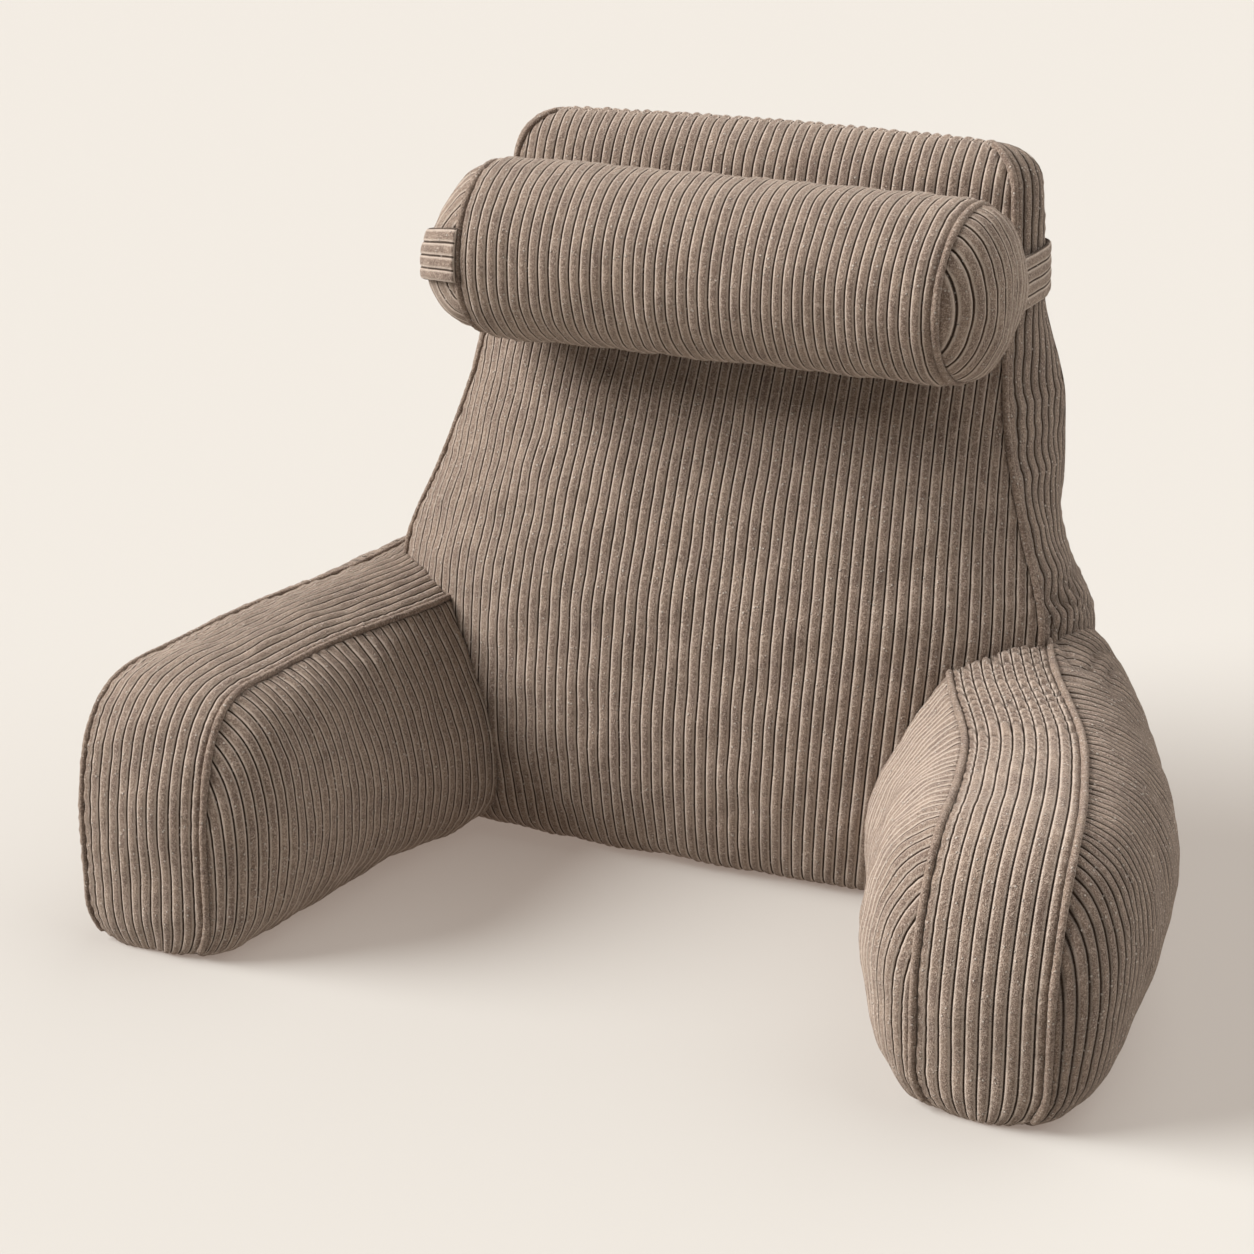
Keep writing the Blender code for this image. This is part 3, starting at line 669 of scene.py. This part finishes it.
def side_panel():
    """The right side panel, with wales that run beside its front seam and jog over its folds."""
    share = np.linspace(0, 1, 200)
    points = backrest_at(1.0, share[None], level_height[:, None], level_roll[:, None])
    run = lengths(points)
    stops = wale_stops(0, math.ceil(run[:, -1].max() / SIDE_WALE))
    deep = np.empty((len(levels), len(stops)))
    kink = 0.0010 * np.sin(level_height / 0.011 + 2.0 * np.sin(level_height / 0.034))
    for at, shift, reach in SIDE_KINKS:
        kink += shift * np.exp(-(((level_height - at) / reach) ** 2))
    for j in range(len(levels)):
        free = smooth(stops, 0, 1.5) * smooth(run[j, -1] / SIDE_WALE - stops, 0, 1.5)
        deep[j] = np.interp(stops * SIDE_WALE + kink[j] * free, run[j], share)
    deep = snapped(deep)

    def place(p, q):
        height, roll = backrest_level(q)
        return backrest_at(1.0, p, height, roll)

    q = np.broadcast_to(levels[:, None], deep.shape)
    points = place(deep, q)
    outward = normals(place, deep, q, high=(1, 3))
    outward *= np.sign(outward[len(levels) // 2, :, 0].mean())
    return points, outward, np.broadcast_to(stops, deep.shape)


def backrest_seams():
    """The front and back edge of the right side panel, and the edge along the top."""
    fine = np.linspace(0, 3, 3000)
    height, roll = backrest_level(fine)
    front = backrest_at(1.0, 0.0, height, roll)
    back = backrest_at(1.0, 1.0, height, roll)
    across = np.linspace(-1, 1, 300)
    height, roll = backrest_level(np.full(300, 3.0))
    ridge = backrest_at(across, 0.0, height, roll)
    return front, back, ridge


def mirror(points):
    return points * np.array([-1, 1, 1])


front_seam, back_seam, ridge_seam = backrest_seams()
case = []
for deep, edge, seed in ((0.0, front_seam, 10), (1.0, back_seam, 20)):
    points, outward, wales = backrest_face(deep)
    along = lengths(np.swapaxes(points, 0, 1)).T
    shaped, painted_shade = dressed(points, outward, wales, [edge, mirror(edge), ridge_seam], seed)
    case.append(panel(shaped, wales, along, painted_shade))
points, outward, wales = side_panel()
along = lengths(np.swapaxes(points, 0, 1)).T
for side, seed in ((1, 30), (-1, 40)):
    shaped, painted_shade = dressed(points, outward, wales, [front_seam, back_seam], seed, SIDE_FOLDS, RAISED_SIDE)
    case.append(panel(shaped * np.array([side, 1, 1]), wales, along, painted_shade))
backrest = piece("backrest_case", case, cloth, "backrest")


# Arms

# Wales in each arm's gusset, how much its outer seam stands out, its outer panel is flatter and
# its front stands forward, and how far forward its corner begins, where the side panels' wales
# turn with the seam
GUSSETS = {"left": (12, 0.013, 0.021, 0.003, 0.985), "right": (10, 0.0, 0.001, 0.008, 0.957)}
# The folds of an arm's inner and outer panel, and how their wales are raised
SIDE_CLOTH = {-1: (INNER_PANEL_FOLDS, RAISED_ARM_INNER), 1: (OUTER_PANEL_FOLDS, RAISED_ARM_OUTER)}
# Closer rows where a side panel is drawn into the gusset's seam
SEAM_ROWS = np.array([0.0010, 0.0024])
arm_up_samples = 1 - np.linspace(1, 0, 3000) ** 2
arm_run = lengths(arm_at(np.float64(1.0), np.full(3000, 0.6), arm_up_samples))
arm_stations = np.sort(np.append(stations(0, arm_run[-1], ARM_ROW_STEP), arm_run[-1] - SEAM_ROWS))
arm_rows = np.interp(arm_stations, arm_run, arm_up_samples)


def arm_columns(across, cut, corner_from):
    """Wales back from the front seam, how far forward each lies, and the first one behind the corner."""
    forward = 1 - np.linspace(0, 1, 6000) ** 3
    run = lengths(arm_at(np.float64(across), forward, np.full(6000, 0.45), **cut))
    stops = wale_stops(0, run[-1] / WALE)
    columns = np.interp(stops * WALE, run, forward)
    return stops, columns, np.argmin(np.abs(columns - corner_from))


def outline(value):
    """The other side view coordinate where one of them meets the gusset's seam."""
    power = ARM_CORNER_POWER
    return np.clip(1 - np.clip(value, 0, 1) ** power, 0, 1) ** (1 / power)


def arm_side(across, columns, corner, cut):
    """Points and outward directions of the inner or outer panel, with wales that turn at the corner."""
    forward, rows = np.broadcast_arrays(columns[None], arm_rows[:, None])
    top = outline(np.minimum(forward, columns[corner]))
    up = rows * top
    forward = np.minimum(forward, np.maximum(outline(up), columns[corner]))
    forward = np.where(columns[None] <= columns[corner], columns[None], forward)

    def place(p, q):
        return arm_at(np.full_like(p, across), p, q, **cut)

    points = place(forward, up)
    outward = normals(place, forward, up, step=4e-4)
    outward *= np.sign((outward[..., 0] * across)[len(arm_rows) // 2].mean())
    return points, outward


def seam_path(columns, corner, over):
    """A gusset seam's stations: over of them from the rear to the corner, then the rows down the front."""
    top = columns[corner:][::-1]
    top = np.concatenate([np.zeros(over - len(top)), top])
    down = arm_rows[::-1][1:] * outline(columns[corner])
    return np.concatenate([top, outline(down)]), np.concatenate([outline(top), down])


def smoothed_normals(points):
    du = np.gradient(points, axis=1)
    dv = np.gradient(points, axis=0)
    return unit(np.cross(du, dv))


def backrest_block(grow):
    """A plain copy of the backrest's shape, grown a little, that the arms are trimmed with."""
    coarse = np.concatenate([[0, 0.5], 1 + stations(0, 1, 0.05), 2 + stations(0, 1, 0.25)[1:]])
    height, roll = (v[:, None] for v in backrest_level(coarse))
    across, deep = np.linspace(-1, 1, 41)[None], np.linspace(0, 1, 7)[None]
    bm = bmesh.new()
    for points in (
        backrest_at(across, 0.0, height, roll),
        backrest_at(across, 1.0, height, roll),
        backrest_at(-1.0, deep, height, roll),
        backrest_at(1.0, deep, height, roll),
    ):
        mesh = panel(points, 0.0, 0.0)
        bm.from_mesh(mesh)
        bpy.data.meshes.remove(mesh)
    bmesh.ops.remove_doubles(bm, verts=bm.verts[:], dist=2e-5)
    bmesh.ops.holes_fill(bm, edges=[e for e in bm.edges if e.is_boundary], sides=0)
    bmesh.ops.recalc_face_normals(bm, faces=bm.faces[:])
    bm.normal_update()
    for vert, shift in [(v, v.normal * grow) for v in bm.verts]:
        vert.co += shift
    bmesh.ops.translate(bm, verts=bm.verts[:], vec=(0, -ORIGIN_BACK, 0))
    mesh = bpy.data.meshes.new("trimmer")
    bm.to_mesh(mesh)
    bm.free()
    return added("trimmer", mesh)


def trimmed(obj, block):
    """Takes what lies inside the block off the piece."""
    boolean = obj.modifiers.new("trim", "BOOLEAN")
    boolean.operation, boolean.solver, boolean.object = "DIFFERENCE", "MANIFOLD", block
    bpy.context.view_layer.update()
    mesh = bpy.data.meshes.new_from_object(obj.evaluated_get(bpy.context.evaluated_depsgraph_get()))
    obj.modifiers.clear()
    old, obj.data = obj.data, mesh
    mesh.name = obj.name
    bpy.data.meshes.remove(old)


def arm_case(hand, side, block):
    """One stuffed arm: inner and outer panel, the gusset strip between them, the rear panel and two cords."""
    gusset_wales, wide, slim, belly, corner_from = GUSSETS[hand]
    cut = {"wide": wide, "slim": slim, "belly": belly}
    seed = 100 if side > 0 else 200
    laid = {across: arm_columns(across, cut, corner_from) for across in (-1, 1)}
    over = max(len(columns) - corner for _, columns, corner in laid.values())
    paths = {across: seam_path(columns, corner, over) for across, (_, columns, corner) in laid.items()}
    stops = wale_stops(0, gusset_wales)
    place_across = 2 * stops / gusset_wales - 1
    share = (place_across[None] + 1) / 2
    forward = paths[-1][0][:, None] * (1 - share) + paths[1][0][:, None] * share
    up = paths[-1][1][:, None] * (1 - share) + paths[1][1][:, None] * share
    strip = arm_at(place_across[None], forward, up, crowned=True, **cut)
    strip_normal = smoothed_normals(strip)
    strip_normal *= np.sign(strip_normal[len(strip) // 3, :, 2].mean())
    seams = {-1: strip[:, 0], 1: strip[:, -1]}
    meshes = []
    for across, (own_stops, columns, corner) in laid.items():
        points, outward = arm_side(across, columns, corner, cut)
        wales = np.broadcast_to(own_stops, points.shape[:2])
        folds, raised = SIDE_CLOTH[across]
        edges = [seams[across], points[:, -1]]
        shaped, painted_shade = dressed(points, outward, wales, edges, seed + across, folds, raised)
        meshes.append(panel(shaped, wales, lengths(np.swapaxes(points, 0, 1)).T, painted_shade))
    wales = np.broadcast_to(stops, strip.shape[:2])
    edges = [seams[-1], seams[1], strip[0]]
    shaped, painted_shade = dressed(strip, strip_normal, wales, edges, seed + 5, GUSSET_FOLDS if side > 0 else ())
    meshes.append(panel(shaped, wales, lengths(np.swapaxes(strip, 0, 1)).T, painted_shade))
    rear = arm_at(place_across[None], 0.0, arm_rows[:, None], **cut)
    meshes.append(panel(rear, stops[None], rear[..., 2]))
    arm = piece("arm_case_" + hand, meshes, cloth, "arm_" + hand, side)
    trimmed(arm, block)
    for label, across in (("inner", -1), ("outer", 1)):
        aside = np.zeros_like(seams[across])
        aside[:, 0] = across
        out = unit(arm_facing(*paths[across]) + aside)
        tight = hand == "left" and across > 0
        radius, cord_rise = (TIGHT_CORD_RADIUS, TIGHT_CORD_RISE) if tight else (CORD_RADIUS, CORD_RISE)
        route = seams[across] + out * cord_rise
        keep = (route[:, 2] > CORD_FOOT) & (route[:, 1] < CORD_REAR)
        cord = cord_mesh(route[keep], radius, seed + 7)
        which = hand + "_" + label
        piece("cord_arm_" + which, [cord], cord_cloth, "welt_arm_" + which, side)


block = backrest_block(TRIM_GAP)
arm_case("left", -1, block)
arm_case("right", 1, block)
bpy.data.objects.remove(block)


# Bolster

BOLSTER_WALES, HALF_CAP_WALES = 45, 7
tube_length = BOLSTER_SEAM_RIGHT - BOLSTER_SEAM_LEFT
tube_stops = wale_stops(0, BOLSTER_WALES)
tube_along = BOLSTER_SEAM_LEFT + tube_length * tube_stops / BOLSTER_WALES
turn = np.linspace(0, 2 * math.pi, 81)
tube = bolster_at(tube_along[None], turn[:, None])
tube_out = unit(spot(0.0, tube[..., 1] - BOLSTER_CENTRE[1], tube[..., 2] - BOLSTER_CENTRE[2]))
ring_turn = np.linspace(0, 2 * math.pi, 200)
ring_left = bolster_at(np.float64(BOLSTER_SEAM_LEFT), ring_turn)
ring_right = bolster_at(np.float64(BOLSTER_SEAM_RIGHT), ring_turn)
wales = np.broadcast_to(tube_stops, tube.shape[:2])
shaped, painted_shade = dressed(tube, tube_out, wales, [ring_left, ring_right], 300)
shaped[-1] = shaped[0]
meshes = [panel(shaped, wales, BOLSTER_RADIUS * turn[:, None], painted_shade)]
for hand, side, ring in (("left", -1, ring_left), ("right", 1, ring_right)):
    cap_stops = wale_stops(-HALF_CAP_WALES, HALF_CAP_WALES)
    aside = cap_stops / cap_stops[-1]
    up = np.sin(np.linspace(-math.pi / 2, math.pi / 2, 41))[:, None]
    up = up * np.sqrt(np.clip(1 - aside**2, 0, 1))[None]
    aside = np.broadcast_to(aside, up.shape)
    cap = cap_at(side, aside, up)
    wales = np.broadcast_to(cap_stops, up.shape)
    shaped, painted_shade = dressed(cap, cap_facing(side, cap), wales, [ring], 320 + side)
    meshes.append(panel(shaped, wales, up * BOLSTER_SEAM_RADIUS, painted_shade))
    # The cord stands off its seam along the bolster and away from its middle line alike
    aslant = CORD_RISE * 0.7
    ring_line = ring + np.array([side * aslant, 0, 0]) + unit(ring - ring.mean(axis=0)) * aslant
    cord = cord_mesh(ring_line, CORD_RADIUS, 340, closed=True)
    piece("cord_bolster_" + hand, [cord], cord_cloth, "welt_bolster_" + hand)
bolster = piece("bolster_case", meshes, cloth, "bolster")

# Corded seams down the front panel's sides
for hand, side in (("left", -1), ("right", 1)):
    keep = (front_seam[:, 2] > BACK_CORD_LOW) & (front_seam[:, 2] < BACK_CORD_HIGH)
    radius, cord_rise = (CORD_RADIUS, CORD_RISE) if side > 0 else (TIGHT_CORD_RADIUS, TIGHT_CORD_RISE)
    cord = cord_mesh(front_seam[keep] + unit(np.array([0.25, -1.0, 0.0])) * cord_rise, radius, 400 + side)
    piece("cord_back_" + hand, [cord], cord_cloth, "welt_back_" + hand, side)


# Strap

STRAP_WALES = 4
# How deep on the side panel, and how far the strap stands off it aside and behind
STRAP_SIDE_STOPS = (
    (0.0, 0.0088, -0.005),
    (0.3, 0.004, 0.0),
    (0.65, STRAP_BEHIND, 0.0),
    (0.92, STRAP_BEHIND, 0.0),
    (1.0, STRAP_BEHIND, STRAP_BEHIND),
)
# Turns over the caps' domes: from the left seam's front to its back, and on the right cap's back
STRAP_LEFT_TURNS, STRAP_RIGHT_TURNS = np.linspace(0.02, 2.25, 26), (2.78, 2.60)


def strap_on_cap(height, turn, side):
    """The strap over a cap's dome, turn 0 at the seam's front and pi at its back."""
    up = (height - BOLSTER_CENTRE[2]) / BOLSTER_SEAM_RADIUS
    place = cap_at(side, -math.cos(turn) * np.sqrt(1 - up**2), up)
    return place + STRAP_CLEAR * cap_facing(side, place)


def strap_face(height):
    """Inner face of the strap at these heights: left cap, left side, back, right side, right cap."""
    # It is sewn into the left seam a little higher than it passes behind
    line = []
    for turn in STRAP_LEFT_TURNS:
        line.append(strap_on_cap(height + STRAP_CLIMB * (1 - smooth(turn, 0.1, 2.0)), turn, -1))
    flanks = []
    for deep, aside, behind in STRAP_SIDE_STOPS:
        flanks.append(backrest_at(1.0, deep, height, 0.0) + np.array([aside, behind, 0]))
    line += [mirror(f) for f in flanks]
    behind = np.array([0, STRAP_BEHIND, 0])
    line += [backrest_at(0.94 * k / 9, 1.0, height, 0.0) + behind for k in range(-9, 10)]
    line += flanks[::-1] + [strap_on_cap(height, turn, 1) for turn in STRAP_RIGHT_TURNS]
    return np.array(line)


strap_stops = wale_stops(0, STRAP_WALES)
strap_heights = STRAP_HEIGHT + STRAP_WIDTH * (strap_stops / STRAP_WALES - 0.5)
coarse = strap_face(strap_heights)
run = lengths(coarse[:, len(strap_stops) // 2])
fine = stations(0, run[-1], 0.003)
strap = np.empty((len(fine), len(strap_stops), 3))
for n in range(len(strap_stops)):
    for k in range(3):
        strap[:, n, k] = np.interp(fine, run, coarse[:, n, k])
for _ in range(5):
    strap[1:-1] = (strap[:-2] + 2 * strap[1:-1] + strap[2:]) / 4
strap_out = unit(np.cross(np.gradient(strap, axis=0), np.array([0.0, 0.0, 1.0])))
strap_out *= np.sign(strap_out[len(fine) // 2, :, 1].mean())
off = np.abs(2 * (strap_stops % 1) - 1)
rib = np.sqrt(np.clip(1 - off**CROWN_SQUARENESS, 0, 1))
edge = smooth(np.minimum(strap_stops, STRAP_WALES - strap_stops), 0.0, 0.12)
outer_lift = (STRAP_GROOVE + STRAP_WALE_RISE * rib)[None] * (STRAP_EDGE + (1 - STRAP_EDGE) * edge)[None]
outer_lift = outer_lift + 0.0002 * ripple(strap, 0.02, 501)
outer = strap + strap_out * outer_lift[..., None]
back = strap[:, ::-6]
section = np.concatenate([outer, back, outer[:, :1]], axis=1)
section_wales = np.concatenate([strap_stops, strap_stops[::-6], strap_stops[:1]])
band = panel(section, section_wales[None], fine[:, None])
strap_piece = piece("strap_band", [band], cloth, "strap")


# Camera, floor and light

# Fitted to the photo's seam corners: the camera's angles, its place, and its focal length in pixels
AZIMUTH, ELEVATION = math.radians(21.76), math.radians(22.54)
CAMERA_PLACE = (0.669, -1.515 - ORIGIN_BACK, 1.008)
FOCAL_PIXELS, PICTURE_PIXELS = 2600, 1254


def aimed(away):
    """The turn of a camera or a light that looks the other way than this."""
    return Vector(away).to_track_quat("Z", "Y").to_matrix().to_4x4()


camera_data = bpy.data.cameras.new("camera")
camera_data.sensor_width = 36.0
camera_data.lens = FOCAL_PIXELS / PICTURE_PIXELS * camera_data.sensor_width
camera = added("camera", camera_data)
level = math.cos(ELEVATION)
toward = (math.sin(AZIMUTH) * level, -math.cos(AZIMUTH) * level, math.sin(ELEVATION))
camera.matrix_world = Matrix.Translation(CAMERA_PLACE) @ aimed(toward)
bpy.context.scene.camera = camera

floor_bm = bmesh.new()
bmesh.ops.create_grid(floor_bm, x_segments=1, y_segments=1, size=30.0)
floor_mesh = bpy.data.meshes.new("floor")
floor_bm.to_mesh(floor_mesh)
floor_bm.free()
floor = added("floor", floor_mesh)
# Seamless paper, matt and pressed smooth, that glows a little: its shadows stay as light and warm as
# in a studio with light from every side
backdrop = bpy.data.materials.new("Matt off-white paper")
backdrop.use_nodes = True
paper = backdrop.node_tree.nodes["Principled BSDF"]
paper.inputs["Base Color"].default_value = linear("#9d9e9b")
paper.inputs["Emission Color"].default_value = linear("#fbe3d3")
paper.inputs["Emission Strength"].default_value = 0.26
paper.inputs["Roughness"].default_value = 0.9
paper.inputs["Specular IOR Level"].default_value = 0.1
floor_mesh.materials.append(backdrop)


# Towards the light, its strength, its spread in degrees and its colour
LIGHTS = {
    "key_light": ((-1.00, -0.35, 0.76), 6.2, 34, "#fffdfb"),
    "rim_light": ((0.60, 0.68, 0.97), 2.5, 80, "#fffdfa"),
}
for name, (source, energy, spread, colour) in LIGHTS.items():
    light = bpy.data.lights.new(name, "SUN")
    light.energy, light.angle, light.color = energy, math.radians(spread), linear(colour)[:3]
    added(name, light).matrix_world = aimed(source)
world = bpy.data.worlds.new("studio")
bpy.context.scene.world = world
world.use_nodes = True
surround = world.node_tree.nodes["Background"]
surround.inputs["Color"].default_value = linear("#fff7ee")
surround.inputs["Strength"].default_value = 0.175
bpy.context.scene.view_settings.view_transform = "Standard"
